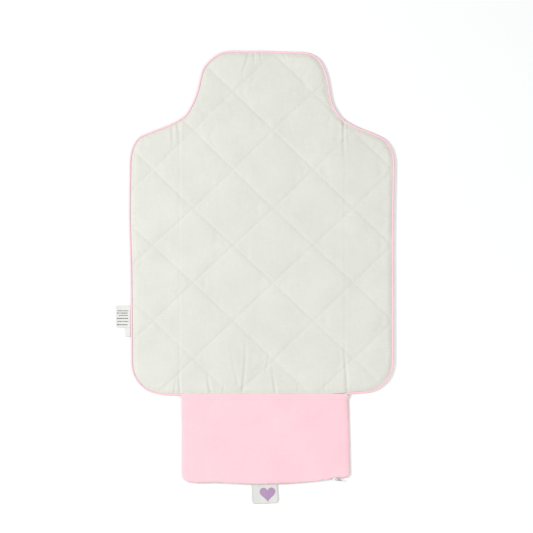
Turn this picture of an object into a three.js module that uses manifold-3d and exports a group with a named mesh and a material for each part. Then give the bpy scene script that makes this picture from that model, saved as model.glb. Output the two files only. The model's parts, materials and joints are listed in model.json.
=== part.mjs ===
// Quilted changing pad that folds up into a zip pocket.
// Millimetres, +Z up. The origin is on the underside, on the pad's centre line.
// +Y points to the head end, and the pocket lies at the -Y end.
// The pad lies open and flat, and every layer is cut where the pad folds.
import * as THREE from 'three';
import { mergeVertices } from 'three/addons/utils/BufferGeometryUtils.js';
import Module from 'manifold-3d';

const wasm = await Module();
wasm.setup();

// The pad's outline, along the middle of its piping
const headEnd = 372;
const headHalfWidth = 100;
const crease = 138.5;
const creaseEnd = 259;
const headFold = 269;
const shoulderHalfWidth = 217;
const bottomHalfWidth = 215;
const bottomEdge = -193;

// The stack of cloths, from the floor up
const backingTop = 0.8;
const linerLow = 1.1;
const linerTop = 1.5;
const waddingLow = 1.8;
const waddingTop = 4.9;
const coverLow = 5.2;
const padTop = 6.0;

const pipingRadius = 2.0;
const pipingBore = 1.4;
const pipingCordRadius = 1.1;
const gap = 0.3;
const clothInset = pipingRadius + gap;
const fillInset = 8;
const slack = 0.2;

// The pocket. Its mouth is the edge furthest from the pad, and it lies a little askew.
const pocketLeft = -135.5;
const pocketRight = 141.5;
const pocketTop = bottomEdge - pipingRadius - gap;
const mouthY = -331.5;
const mouthTilt = THREE.MathUtils.degToRad(1.9);
const pocketCorner = 12;
const pocketBackTop = 0.8;
const pocketFrontLow = 4.2;
const pocketFrontTop = 5.0;
const seamAllowance = 7;
const sideSeamToTape = 14;

// The zip. Its own x runs along the mouth, and its own y points to the pad.
const zipLength = 256;
const tapeInner = 14;
const tapeOuter = -1.7;
const rearTapeLow = 2.2;
const rearTapeTop = 2.6;
const frontTapeLow = 3.5;
const frontTapeTop = 3.9;
const coilInner = -2.0;
const coilRoot = -3.4;
const coilTip = -5.4;
const rearCoilLow = 2.1;
const frontCoilTop = 4.0;
const toothPitch = 6;
const toothWidth = 2.4;
const sliderLength = 8;
const sliderX = 120;
const sliderInner = -0.9;
const sliderOuter = -7.2;
const sliderLow = 1.1;
const sliderTop = 5.3;
const archHeight = 2.2;
const archWall = 0.8;
const archHalfWidth = 1.0;
const pullLength = 9;
const pullWidth = 4.4;
const pullThickness = 0.6;
const pullBar = 0.8;
const pullHole = 3.9;
const pullHoleHalfWidth = 1.35;

// Labels
const labelCloth = 0.3;
const careEdge = -218.5;
const careWidth = 24;
const careFrontY = [-83, -47];
const careRearY = [-98, -66];
const careRearWidth = 9;
const loopLeft = -17.5;
const loopRight = 25.5;
const loopLength = 30.3;
const loopLift = -11.6;
const careZ = 2.6;
const loopZ = 0.42;

const cloth = (color) => new THREE.MeshStandardMaterial({ color, roughness: 0.95, metalness: 0 });
const materials = {
  whiteMuslin: cloth(0xe8e8e1),
  pinkMuslin: cloth(0xffd7e0),
  pinkPiping: cloth(0xfad4de),
  wadding: cloth(0xf6f6f4),
  cord: cloth(0xf2efe8),
  label: cloth(0xf3f1f2),
  tape: cloth(0xf4dfe3),
  liner: new THREE.MeshStandardMaterial({ color: 0xf0f0f0, roughness: 0.4, metalness: 0 }),
  coil: new THREE.MeshStandardMaterial({ color: 0xd9d5d5, roughness: 0.45, metalness: 0 }),
  metal: new THREE.MeshStandardMaterial({ color: 0x77757a, roughness: 0.35, metalness: 0.9 }),
};

const pad = new THREE.Group();

function toSolid(geometry) {
  const bare = geometry.clone();
  bare.deleteAttribute('normal');
  bare.deleteAttribute('uv');
  const merged = mergeVertices(bare, 1e-4);
  return new wasm.Manifold(new wasm.Mesh({
    numProp: 3,
    vertProperties: new Float32Array(merged.attributes.position.array),
    triVerts: new Uint32Array(merged.index.array),
  }));
}

function toGeometry(solid) {
  const mesh = solid.getMesh();
  const geometry = new THREE.BufferGeometry();
  geometry.setAttribute('position', new THREE.BufferAttribute(mesh.vertProperties, 3));
  geometry.setIndex(new THREE.BufferAttribute(mesh.triVerts, 1));
  return geometry;
}

function addMesh(name, geometry, material, parent = pad) {
  const mesh = new THREE.Mesh(geometry, material);
  mesh.name = name;
  parent.add(mesh);
  return mesh;
}

function block(low, high) {
  const [x, y, z] = [0, 1, 2].map((i) => high[i] - low[i]);
  const geometry = new THREE.BoxGeometry(x, y, z);
  geometry.translate(low[0] + x / 2, low[1] + y / 2, low[2] + z / 2);
  return geometry;
}

function slab(shape, low, high) {
  const geometry = new THREE.ExtrudeGeometry(shape, {
    depth: high - low,
    bevelEnabled: false,
    curveSegments: 8,
  });
  geometry.translate(0, 0, low);
  return geometry;
}

// The right half of the outline, from the middle of the head end to the middle of the bottom edge
function rightHalf() {
  const edge = new THREE.Path();
  edge.moveTo(0, headEnd);
  edge.lineTo(66, headEnd - 2);
  edge.bezierCurveTo(86, headEnd - 3.5, 97, 357, headHalfWidth, 340);
  edge.bezierCurveTo(104, 318, 108, 282, crease, creaseEnd);
  edge.bezierCurveTo(152, 249, 176, 243, 196, 234);
  edge.bezierCurveTo(209, 229, 216, 213, shoulderHalfWidth, 190);
  edge.lineTo(bottomHalfWidth, -140);
  edge.bezierCurveTo(213, -176, 196, -190, 158, bottomEdge);
  edge.lineTo(0, bottomEdge);
  return edge;
}

// The outline's points, moved in by inset, all the way round
function outline(inset) {
  const points = rightHalf().getPoints(9);
  const last = points.length - 1;
  const moved = points.map((point, i) => {
    if (i === 0 || i === last) {
      return new THREE.Vector2(0, point.y + (i === 0 ? -inset : inset));
    }
    const along = points[i + 1].clone().sub(points[i - 1]).normalize();
    return new THREE.Vector2(point.x + along.y * inset, point.y - along.x * inset);
  });
  const mirrored = moved.slice(1, last).reverse().map((p) => new THREE.Vector2(-p.x, p.y));
  return moved.concat(mirrored);
}

// The part of the pad that each panel takes, as a solid to cut with
const far = 600;
const below = -1;
const above = 9;
const half = gap / 2;
const panels = {
  centre: block([-crease + half, -far, below], [crease - half, headFold - half, above]),
  left_wing: block([-far, -far, below], [-crease - half, far, above]),
  right_wing: block([crease + half, -far, below], [far, far, above]),
  head: block([-far, headFold + half, below], [far, far, above]),
};

const layers = [
  { name: 'backing', low: 0, high: backingTop, inset: clothInset, material: 'pinkMuslin' },
  { name: 'waterproof_liner', low: linerLow, high: linerTop, inset: fillInset, material: 'liner' },
  { name: 'wadding', low: waddingLow, high: waddingTop, inset: fillInset, material: 'wadding' },
  { name: 'top_cover', low: coverLow, high: padTop, inset: clothInset, material: 'whiteMuslin' },
];

for (const [panel, region] of Object.entries(panels)) {
  const cutter = toSolid(region);
  for (const layer of layers) {
    const whole = slab(new THREE.Shape(outline(layer.inset)), layer.low, layer.high);
    const piece = toSolid(whole).intersect(cutter);
    addMesh(`${panel}_${layer.name}`, toGeometry(piece), materials[layer.material]);
  }
}

// Piping: a cloth sleeve round a cord, along a run of the outline
const pipingZ = padTop / 2;
const pipingStep = 13;
const sleeveHalfSides = 4;
const cordHalfSides = 3;

function tube(points, radius, bore, halfSides) {
  const section = new THREE.Shape();
  section.absarc(0, 0, radius, 0, Math.PI * 2);
  if (bore) {
    const hole = new THREE.Path();
    hole.absarc(0, 0, bore, 0, Math.PI * 2);
    section.holes.push(hole);
  }
  const route = new THREE.CatmullRomCurve3(points, false, 'centripetal');
  const steps = Math.max(1, Math.round(route.getLength() / pipingStep));
  return new THREE.ExtrudeGeometry(section, {
    steps: points.length === 2 ? 1 : steps,
    curveSegments: halfSides,
    extrudePath: route,
  });
}

function addPiping(prefix, panel, points) {
  const cutter = toSolid(panels[panel]);
  const sleeve = toSolid(tube(points, pipingRadius, pipingBore, sleeveHalfSides)).intersect(cutter);
  const cord = toSolid(tube(points, pipingCordRadius, 0, cordHalfSides)).intersect(cutter);
  addMesh(`${prefix}_piping`, toGeometry(sleeve), materials.pinkPiping);
  addMesh(`${prefix}_piping_cord`, toGeometry(cord), materials.cord);
}

const overrun = 8;
const edgeSteps = 220;
const edgePoints = rightHalf().getSpacedPoints(edgeSteps).map((p) => new THREE.Vector3(p.x, p.y, pipingZ));
const mirror = (p) => new THREE.Vector3(-p.x, p.y, p.z);
const headRun = edgePoints.filter((p) => p.y > headFold - overrun);
const neckRun = edgePoints.filter((p) => p.y > creaseEnd - overrun && p.y < headFold + overrun);
const wingRun = edgePoints.filter((p) => p.x > crease - overrun && p.y < creaseEnd + overrun);
const bottomRun = [-crease - overrun, crease + overrun]
  .map((x) => new THREE.Vector3(x, bottomEdge, pipingZ));

addPiping('head', 'head', headRun.slice(1).reverse().map(mirror).concat(headRun));
addPiping('right_neck', 'centre', neckRun);
addPiping('left_neck', 'centre', neckRun.map(mirror));
addPiping('right_wing', 'right_wing', wingRun);
addPiping('left_wing', 'left_wing', wingRun.map(mirror));
addPiping('bottom', 'centre', bottomRun);

// Pocket panels: straight at the pad, rounded at the mouth, whose edge is askew
const mouthAt = (x) => mouthY + x * Math.tan(mouthTilt);

function pocketPanel(low, high) {
  const shape = new THREE.Shape();
  shape.moveTo(pocketLeft, pocketTop);
  shape.lineTo(pocketLeft, mouthAt(pocketLeft) + pocketCorner);
  shape.quadraticCurveTo(
    pocketLeft, mouthAt(pocketLeft),
    pocketLeft + pocketCorner, mouthAt(pocketLeft + pocketCorner),
  );
  shape.lineTo(pocketRight - pocketCorner, mouthAt(pocketRight - pocketCorner));
  shape.quadraticCurveTo(
    pocketRight, mouthAt(pocketRight),
    pocketRight, mouthAt(pocketRight) + pocketCorner,
  );
  shape.lineTo(pocketRight, pocketTop);
  return slab(shape, low, high);
}

addMesh('pocket_back_panel', pocketPanel(0, pocketBackTop), materials.pinkMuslin);
addMesh('pocket_front_panel', pocketPanel(pocketFrontLow, pocketFrontTop), materials.pinkMuslin);

const seamLow = pocketBackTop + gap;
const seamHigh = pocketFrontLow - gap;
const seamEnd = mouthY + tapeInner + sideSeamToTape;
addMesh('pocket_left_seam', block(
  [pocketLeft + gap, seamEnd, seamLow],
  [pocketLeft + seamAllowance, pocketTop - seamAllowance - gap, seamHigh],
), materials.pinkMuslin);
addMesh('pocket_right_seam', block(
  [pocketRight - seamAllowance, seamEnd, seamLow],
  [pocketRight - gap, pocketTop - seamAllowance - gap, seamHigh],
), materials.pinkMuslin);
addMesh('pocket_top_seam', block(
  [pocketLeft + gap, pocketTop - seamAllowance, seamLow],
  [pocketRight - gap, pocketTop - gap, seamHigh],
), materials.pinkMuslin);

// The zip, in a group of its own that lies along the mouth
const zip = new THREE.Group();
zip.position.set(0, mouthY, 0);
zip.rotation.z = mouthTilt;
pad.add(zip);
const zipStart = -128;
const zipEnd = zipStart + zipLength;

addMesh('zip_tape_rear', block(
  [zipStart, tapeOuter, rearTapeLow],
  [zipEnd, tapeInner, rearTapeTop],
), materials.tape, zip);
addMesh('zip_tape_front', block(
  [zipStart, tapeOuter, frontTapeLow],
  [zipEnd, tapeInner, frontTapeTop],
), materials.tape, zip);

// Each row of teeth is a comb, and the two combs mesh
const coilMiddle = (rearCoilLow + frontCoilTop) / 2;
const stopLength = 3;
const coilStart = zipStart + stopLength + gap;
const coilEnd = zipEnd - stopLength - gap;

function comb(spine, teethFrom, teethTo, offset) {
  let solid = toSolid(block(
    [coilStart, coilRoot, spine[0]],
    [coilEnd, coilInner, spine[1]],
  ));
  const toothOverlap = 0.4;
  const count = Math.floor((coilEnd - coilStart - offset - toothWidth) / toothPitch);
  for (let i = 0; i <= count; i += 1) {
    const x = coilStart + offset + i * toothPitch;
    solid = solid.add(toSolid(block(
      [x, coilTip, teethFrom],
      [x + toothWidth, coilRoot + toothOverlap, teethTo],
    )));
  }
  return toGeometry(solid);
}

const firstTooth = 0.4;
addMesh('zip_coil_rear', comb(
  [rearCoilLow, coilMiddle - half], rearCoilLow, coilMiddle - half, firstTooth,
), materials.coil, zip);
addMesh('zip_coil_front', comb(
  [coilMiddle + half, frontCoilTop], coilMiddle + half, frontCoilTop, firstTooth + toothPitch / 2,
), materials.coil, zip);
for (const [name, x] of [['left', zipStart], ['right', zipEnd - stopLength]]) {
  addMesh(`zip_stop_${name}`, block(
    [x, coilTip, rearCoilLow - slack],
    [x + stopLength, coilInner, frontCoilTop + slack],
  ), materials.metal, zip);
}

// The slider: two plates and a back wall round the teeth, with an arch for the pull on top
const slotLow = rearCoilLow - gap - slack;
const slotTop = frontCoilTop + gap + slack;
const archTop = sliderTop + archHeight;
const archEnd = sliderLength / 2 - 1;
const sliderMiddleY = (sliderInner + sliderOuter) / 2;

function sliderSolid() {
  const outer = toSolid(block(
    [-sliderLength / 2, sliderOuter, sliderLow],
    [sliderLength / 2, sliderInner, sliderTop],
  ));
  const slot = toSolid(block(
    [-sliderLength, coilTip - gap - slack, slotLow],
    [sliderLength, sliderInner + 1, slotTop],
  ));
  const arch = toSolid(block(
    [-archEnd, sliderMiddleY - archHalfWidth, sliderTop - slack],
    [archEnd, sliderMiddleY + archHalfWidth, archTop],
  ));
  const eye = toSolid(block(
    [-archEnd + archWall, sliderMiddleY - 3 * archHalfWidth, sliderTop],
    [archEnd - archWall, sliderMiddleY + 3 * archHalfWidth, archTop - archWall],
  ));
  return toGeometry(outer.subtract(slot).add(arch).subtract(eye));
}

const sliderFrame = new THREE.Group();
sliderFrame.position.set(sliderX, 0, 0);
zip.add(sliderFrame);
addMesh('zip_slider', sliderSolid(), materials.metal, sliderFrame);

// The pull: a flat tab whose end bar passes through the slider's arch
const pullZ = sliderTop + gap;
const pullStart = 0.6;

function pullSolid() {
  const shape = new THREE.Shape();
  const end = pullLength - pullWidth / 2;
  shape.moveTo(0, -pullWidth / 2);
  shape.lineTo(end, -pullWidth / 2);
  shape.absarc(end, 0, pullWidth / 2, -Math.PI / 2, Math.PI / 2);
  shape.lineTo(0, pullWidth / 2);
  shape.closePath();
  const hole = new THREE.Path();
  hole.moveTo(pullBar, -pullHoleHalfWidth);
  hole.lineTo(pullBar, pullHoleHalfWidth);
  hole.lineTo(pullBar + pullHole, pullHoleHalfWidth);
  hole.lineTo(pullBar + pullHole, -pullHoleHalfWidth);
  hole.closePath();
  shape.holes.push(hole);
  return slab(shape, 0, pullThickness);
}

addMesh('zip_pull', pullSolid(), materials.metal, sliderFrame)
  .position.set(pullStart, sliderMiddleY, pullZ);

// Labels: flat tags sewn into the seams, and a folded loop on the pocket's mouth
addMesh('care_label_front', block(
  [careEdge - careWidth, careFrontY[0], careZ],
  [careEdge, careFrontY[1], careZ + labelCloth],
), materials.label);
addMesh('care_label_rear', block(
  [careEdge - careRearWidth, careRearY[0], careZ - gap - labelCloth],
  [careEdge, careRearY[1], careZ - gap],
), materials.label);

function loopLabel(width) {
  const inner = gap / 4;
  const outer = inner + labelCloth;
  const end = -loopLength + outer;
  const shape = new THREE.Shape();
  shape.moveTo(0, -outer);
  shape.lineTo(end, -outer);
  shape.absarc(end, 0, outer, -Math.PI / 2, Math.PI / 2, true);
  shape.lineTo(0, outer);
  shape.lineTo(0, inner);
  shape.lineTo(end, inner);
  shape.absarc(end, 0, inner, Math.PI / 2, -Math.PI / 2, false);
  shape.lineTo(0, -inner);
  shape.closePath();
  const geometry = new THREE.ExtrudeGeometry(shape, {
    depth: width,
    bevelEnabled: false,
    curveSegments: 4,
  });
  const alongY = new THREE.Vector3(0, 1, 0);
  const alongZ = new THREE.Vector3(0, 0, 1);
  const alongX = new THREE.Vector3(1, 0, 0);
  geometry.applyMatrix4(new THREE.Matrix4().makeBasis(alongY, alongZ, alongX));
  return geometry;
}

const loopWidth = loopRight - loopLeft;
addMesh('loop_label', loopLabel(loopWidth), materials.label, zip)
  .position.set(loopLeft, loopLift, loopZ);
addMesh('loop_label_tail', block(
  [loopLeft, loopLift + 2 * gap, loopZ - labelCloth],
  [loopRight, -gap, loopZ + labelCloth],
), materials.label, zip);

export default pad;
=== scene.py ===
"""The looks of a quilted muslin changing pad that lies open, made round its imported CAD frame."""

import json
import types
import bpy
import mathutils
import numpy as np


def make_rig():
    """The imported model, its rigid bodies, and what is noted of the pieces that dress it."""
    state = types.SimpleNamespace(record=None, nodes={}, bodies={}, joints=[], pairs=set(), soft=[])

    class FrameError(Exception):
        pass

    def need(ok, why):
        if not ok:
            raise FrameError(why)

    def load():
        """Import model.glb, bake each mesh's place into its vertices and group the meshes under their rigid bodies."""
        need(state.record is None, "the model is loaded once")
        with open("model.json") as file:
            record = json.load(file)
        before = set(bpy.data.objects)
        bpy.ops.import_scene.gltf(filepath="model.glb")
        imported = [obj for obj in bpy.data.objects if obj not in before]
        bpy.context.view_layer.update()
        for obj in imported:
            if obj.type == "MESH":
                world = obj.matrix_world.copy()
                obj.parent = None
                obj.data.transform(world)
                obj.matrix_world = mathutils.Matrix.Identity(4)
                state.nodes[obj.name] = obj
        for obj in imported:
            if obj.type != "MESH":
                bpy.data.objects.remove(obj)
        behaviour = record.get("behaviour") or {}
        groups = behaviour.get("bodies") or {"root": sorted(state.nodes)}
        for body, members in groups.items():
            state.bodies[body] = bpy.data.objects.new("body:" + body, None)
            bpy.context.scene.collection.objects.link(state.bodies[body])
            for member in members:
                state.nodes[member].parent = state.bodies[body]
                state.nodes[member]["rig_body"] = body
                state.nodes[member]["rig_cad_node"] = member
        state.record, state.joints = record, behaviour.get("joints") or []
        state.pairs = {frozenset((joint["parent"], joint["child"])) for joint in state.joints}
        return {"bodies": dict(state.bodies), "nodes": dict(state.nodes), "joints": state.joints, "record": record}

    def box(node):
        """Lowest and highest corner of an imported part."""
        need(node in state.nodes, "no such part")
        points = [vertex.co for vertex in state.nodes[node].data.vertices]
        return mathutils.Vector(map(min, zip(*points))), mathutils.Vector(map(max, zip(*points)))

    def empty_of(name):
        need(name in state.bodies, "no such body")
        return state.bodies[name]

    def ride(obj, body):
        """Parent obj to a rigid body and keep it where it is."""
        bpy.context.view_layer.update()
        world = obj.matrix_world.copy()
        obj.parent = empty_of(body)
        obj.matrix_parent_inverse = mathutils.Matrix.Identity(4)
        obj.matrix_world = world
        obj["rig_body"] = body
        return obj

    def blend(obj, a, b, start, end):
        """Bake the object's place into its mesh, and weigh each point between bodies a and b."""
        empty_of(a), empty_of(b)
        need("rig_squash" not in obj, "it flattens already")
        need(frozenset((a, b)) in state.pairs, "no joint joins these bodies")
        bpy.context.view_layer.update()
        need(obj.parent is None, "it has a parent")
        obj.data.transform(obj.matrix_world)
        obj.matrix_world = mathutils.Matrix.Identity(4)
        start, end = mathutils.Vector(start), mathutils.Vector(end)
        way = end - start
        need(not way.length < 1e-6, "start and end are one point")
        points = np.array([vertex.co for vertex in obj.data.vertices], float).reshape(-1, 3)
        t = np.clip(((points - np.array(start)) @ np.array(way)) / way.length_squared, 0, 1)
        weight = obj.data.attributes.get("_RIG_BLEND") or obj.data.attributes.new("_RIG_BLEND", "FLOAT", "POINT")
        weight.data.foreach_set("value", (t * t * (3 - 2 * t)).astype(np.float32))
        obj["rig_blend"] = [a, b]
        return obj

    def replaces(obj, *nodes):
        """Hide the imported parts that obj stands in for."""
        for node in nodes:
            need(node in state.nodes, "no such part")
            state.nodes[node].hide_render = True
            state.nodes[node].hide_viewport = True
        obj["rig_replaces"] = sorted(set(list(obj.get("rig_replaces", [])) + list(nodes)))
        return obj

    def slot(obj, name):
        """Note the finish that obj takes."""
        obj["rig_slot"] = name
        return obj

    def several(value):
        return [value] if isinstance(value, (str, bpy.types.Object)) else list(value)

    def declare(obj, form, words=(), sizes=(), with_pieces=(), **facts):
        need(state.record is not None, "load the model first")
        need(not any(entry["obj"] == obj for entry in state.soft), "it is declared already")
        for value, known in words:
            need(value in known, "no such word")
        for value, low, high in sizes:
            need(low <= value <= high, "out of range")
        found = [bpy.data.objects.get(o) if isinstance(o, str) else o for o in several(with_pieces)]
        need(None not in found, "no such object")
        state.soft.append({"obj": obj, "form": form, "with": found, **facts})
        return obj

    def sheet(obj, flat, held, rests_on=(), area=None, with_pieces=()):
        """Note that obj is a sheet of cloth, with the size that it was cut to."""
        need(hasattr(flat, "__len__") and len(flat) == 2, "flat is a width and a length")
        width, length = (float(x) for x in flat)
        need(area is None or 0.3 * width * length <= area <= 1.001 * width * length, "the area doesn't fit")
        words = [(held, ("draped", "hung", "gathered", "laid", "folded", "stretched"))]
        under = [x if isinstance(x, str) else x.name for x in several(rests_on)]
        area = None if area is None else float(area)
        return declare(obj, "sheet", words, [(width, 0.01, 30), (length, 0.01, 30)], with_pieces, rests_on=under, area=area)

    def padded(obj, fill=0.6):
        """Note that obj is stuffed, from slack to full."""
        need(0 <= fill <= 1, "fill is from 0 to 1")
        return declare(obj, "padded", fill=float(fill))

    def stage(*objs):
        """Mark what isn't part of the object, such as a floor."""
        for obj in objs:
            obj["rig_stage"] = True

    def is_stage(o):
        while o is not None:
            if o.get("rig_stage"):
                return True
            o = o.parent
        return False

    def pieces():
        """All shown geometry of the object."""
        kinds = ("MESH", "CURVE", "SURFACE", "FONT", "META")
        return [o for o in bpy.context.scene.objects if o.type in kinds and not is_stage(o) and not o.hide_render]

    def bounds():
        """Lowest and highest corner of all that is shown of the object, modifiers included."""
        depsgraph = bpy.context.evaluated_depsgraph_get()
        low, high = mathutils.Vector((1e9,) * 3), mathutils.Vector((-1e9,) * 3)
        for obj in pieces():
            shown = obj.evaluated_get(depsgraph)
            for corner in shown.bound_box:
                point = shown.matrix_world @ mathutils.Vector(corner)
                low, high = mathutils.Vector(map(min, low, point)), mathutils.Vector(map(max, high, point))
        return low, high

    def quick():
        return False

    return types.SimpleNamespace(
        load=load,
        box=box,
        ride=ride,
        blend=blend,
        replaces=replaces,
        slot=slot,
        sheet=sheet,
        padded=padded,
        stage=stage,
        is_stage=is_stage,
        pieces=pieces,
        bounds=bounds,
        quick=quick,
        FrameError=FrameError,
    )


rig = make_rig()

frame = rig.load()
cad_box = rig.bounds()

import json
import math

import bmesh
import bpy
import numpy as np
from mathutils import Vector, geometry, noise
from mathutils.bvhtree import BVHTree

MM = 0.001
UV = "cloth"

# Places and sizes that the frame gives
joints = {j["name"]: j for j in frame["joints"]}
CREASE = joints["right_wing_fold"]["pos_m"][0]
HEAD_FOLD = joints["head_fold"]["pos_m"][1]
PAD_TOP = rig.box("centre_top_cover")[1].z
PIPING_LOW, PIPING_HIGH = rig.box("bottom_piping")
PIPING_RADIUS = (PIPING_HIGH.z - PIPING_LOW.z) / 2
PIPING_Z = (PIPING_HIGH.z + PIPING_LOW.z) / 2
HEAD_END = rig.box("head_piping")[1].y - PIPING_RADIUS
BOTTOM_EDGE = (PIPING_HIGH.y + PIPING_LOW.y) / 2
POCKET_LOW, POCKET_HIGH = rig.box("pocket_front_panel")
POCKET_FRONT_Z = POCKET_HIGH.z
POCKET_LEFT, POCKET_RIGHT = POCKET_LOW.x, POCKET_HIGH.x
ZIP_COS = -joints["zip_slide"]["axis"][0]
ZIP_SIN = -joints["zip_slide"]["axis"][1]

# Where the cloth starts to bend to each folding panel
FOLD_HALF = 5 * MM
HEAD_FOLD_HALF = 7.5 * MM
WING_START = CREASE - FOLD_HALF
HEAD_START = HEAD_FOLD - HEAD_FOLD_HALF

# Sizes of the sewing
MESH_STEP = 3.6 * MM
DIAMOND_HALF_WIDTH = 66 * MM
DIAMOND_HALF_HEIGHT = 62.9 * MM
DIAMOND_X = 18.3 * MM
DIAMOND_Y = HEAD_END - 3 * MM
STITCH_PITCH = 3.6 * MM
THREAD_RADIUS = 0.26 * MM
TOPSTITCH_INSET = 5.3 * MM
MOUTH_Y = -331.5 * MM

# The piping is a little thinner than its CAD tube, with the same outer edge, and the cloth starts inside it
TUBE_RADIUS = 1.55 * MM
SEAM_INSET = 2 * TUBE_RADIUS - PIPING_RADIUS


# ---------------- outlines

def bezier(a, b, c, d, count=24):
    t = np.linspace(0, 1, count)[:, None]
    a, b, c, d = (np.array(p, float) for p in (a, b, c, d))
    return (1 - t) ** 3 * a + 3 * (1 - t) ** 2 * t * b + 3 * (1 - t) * t**2 * c + t**3 * d


def resample(line, step):
    """The line again, with even points about step apart and both its ends."""
    sizes = np.linalg.norm(np.diff(line, axis=0), axis=1)
    along = np.concatenate([[0], np.cumsum(sizes)])
    at = np.linspace(0, along[-1], max(2, round(along[-1] / step) + 1))
    return np.stack([np.interp(at, along, line[:, k]) for k in range(line.shape[1])], axis=1)


def right_half():
    """The middle of the piping from the middle of the head end to the middle of the bottom edge."""
    top, low, crease = HEAD_END / MM, BOTTOM_EDGE / MM, CREASE / MM
    parts = [
        np.array([(0, top), (66, top - 2)]),
        bezier((66, top - 2), (86, top - 3.5), (97, 357), (100, 340)),
        bezier((100, 340), (104, 318), (108, 282), (crease, 259)),
        bezier((crease, 259), (152, 249), (176, 243), (196, 234)),
        bezier((196, 234), (209, 229), (216, 213), (217, 190)),
        np.array([(217, 190), (215, -140)]),
        bezier((215, -140), (213, -176), (196, -190), (158, low)),
        np.array([(158, low), (0, low)]),
    ]
    line = np.concatenate([parts[0]] + [p[1:] for p in parts[1:]])
    return line * MM


def outline(step, inset=0.0):
    """The whole outline as a closed loop, clockwise from the middle of the head end, moved in by inset."""
    half = resample(right_half(), step)
    loop = np.concatenate([half, half[1:-1][::-1] * (-1, 1)])
    along = unit(np.roll(loop, -1, axis=0) - np.roll(loop, 1, axis=0))
    return loop + np.stack([along[:, 1], -along[:, 0]], axis=1) * inset


def inside(points, loop):
    """Which of the points are inside the closed loop."""
    result = np.zeros(len(points), bool)
    x, y = points[:, 0], points[:, 1]
    for (x0, y0), (x1, y1) in zip(loop, np.roll(loop, -1, axis=0)):
        if y0 == y1:
            continue
        crosses = (y0 > y) != (y1 > y)
        result ^= crosses & (x < (x1 - x0) * (y - y0) / (y1 - y0) + x0)
    return result


def unit(vectors):
    """The vectors, each made 1 long."""
    return vectors / np.linalg.norm(vectors, axis=1)[:, None]


def distance(points, line, closed=True):
    """How far each point is from a line of straight pieces."""
    best = np.full(len(points), 1e9)
    ends = np.roll(line, -1, axis=0) if closed else line[1:]
    for a, b in zip(line, ends):
        d = b - a
        t = np.clip((points - a) @ d / max(d @ d, 1e-18), 0, 1)
        best = np.minimum(best, np.linalg.norm(points - a - t[:, None] * d, axis=1))
    return best


def runs_inside(line, loop, least=6):
    """The stretches of a line that are inside the loop."""
    keep = inside(line, loop)
    cuts = np.flatnonzero(np.diff(keep.astype(int))) + 1
    runs = [run for run in np.split(np.arange(len(line)), cuts) if keep[run[0]]]
    return [line[run] for run in runs if len(run) >= least]


# ---------------- meshes

def triangulate(loop, lines, step):
    """Even triangles that fill the loop and have edges along the lines: (points, faces)."""
    low, high = loop.min(0), loop.max(0)
    rows = np.arange(low[1], high[1], step * math.sqrt(3) / 2)
    columns = np.arange(low[0], high[0], step)
    grid = np.array([(x + (row % 2) * step / 2, y) for row, y in enumerate(rows) for x in columns])
    grid = grid[inside(grid, loop)]
    far = distance(grid, loop) > 0.6 * step
    for line in lines:
        far &= distance(grid, line, closed=False) > 0.6 * step
    fixed = [loop] + lines
    edges = [(i, (i + 1) % len(loop)) for i in range(len(loop))]
    start = len(loop)
    for line in lines:
        edges += [(start + i, start + i + 1) for i in range(len(line) - 1)]
        start += len(line)
    points = [Vector(p) for p in np.concatenate(fixed + [grid[far]])]
    found = geometry.delaunay_2d_cdt(points, edges, [], 0, 1e-7)
    flat = np.array([tuple(v) for v in found[0]])
    faces = np.array(found[2])
    faces = faces[inside(flat[faces].mean(1), loop)]
    a, b, c = flat[faces[:, 0]], flat[faces[:, 1]], flat[faces[:, 2]]
    area = np.abs((b[:, 0] - a[:, 0]) * (c[:, 1] - a[:, 1]) - (b[:, 1] - a[:, 1]) * (c[:, 0] - a[:, 0]))
    faces = faces[area > 1e-10]
    used, faces = np.unique(faces, return_inverse=True)
    return flat[used], faces.reshape(-1, 3)


def add(name, data):
    """A new object of a mesh, a light or a camera, in the scene."""
    obj = bpy.data.objects.new(name, data)
    bpy.context.scene.collection.objects.link(obj)
    return obj


def add_smooth(name, mesh, material):
    mesh.polygons.foreach_set("use_smooth", [True] * len(mesh.polygons))
    if material is not None:
        mesh.materials.append(material)
    return add(name, mesh)


def make(name, points, faces, flat=None, material=None):
    """An object of points and faces. flat gives each point's place on the cloth, for its weave."""
    mesh = bpy.data.meshes.new(name)
    mesh.from_pydata([tuple(map(float, p)) for p in points], [], [tuple(map(int, f)) for f in faces])
    mesh.validate()
    if flat is not None:
        set_flat(mesh, flat)
    return add_smooth(name, mesh, material)


def ring_faces(rings, sides):
    """The faces of a tube: around its rings of points, and over its two ends."""
    corners = [(0, 0), (0, 1), (1, 1), (1, 0)]
    around = [
        tuple((i + di) * sides + (j + dj) % sides for di, dj in corners)
        for i in range(rings - 1) for j in range(sides)
    ]
    return around + [tuple(range(sides))[::-1], tuple(range((rings - 1) * sides, rings * sides))]


def set_flat(mesh, flat):
    layer = mesh.uv_layers.new(name=UV)
    corner = np.zeros(len(mesh.loops), np.int32)
    mesh.loops.foreach_get("vertex_index", corner)
    layer.data.foreach_set("uv", np.asarray(flat, np.float32)[corner].ravel())


def flat_of(mesh):
    """Each point's place on the cloth."""
    corner = np.zeros(len(mesh.loops), np.int32)
    mesh.loops.foreach_get("vertex_index", corner)
    flat = np.zeros(len(mesh.loops) * 2, np.float32)
    mesh.uv_layers[UV].data.foreach_get("uv", flat)
    by_point = np.zeros((len(mesh.vertices), 2))
    by_point[corner] = flat.reshape(-1, 2)
    return by_point


def coordinates(mesh):
    found = np.zeros(len(mesh.vertices) * 3, np.float32)
    mesh.vertices.foreach_get("co", found)
    return found.reshape(-1, 3).astype(float)


def set_coordinates(mesh, points):
    mesh.vertices.foreach_set("co", np.asarray(points, np.float32).ravel())
    mesh.update()


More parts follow.
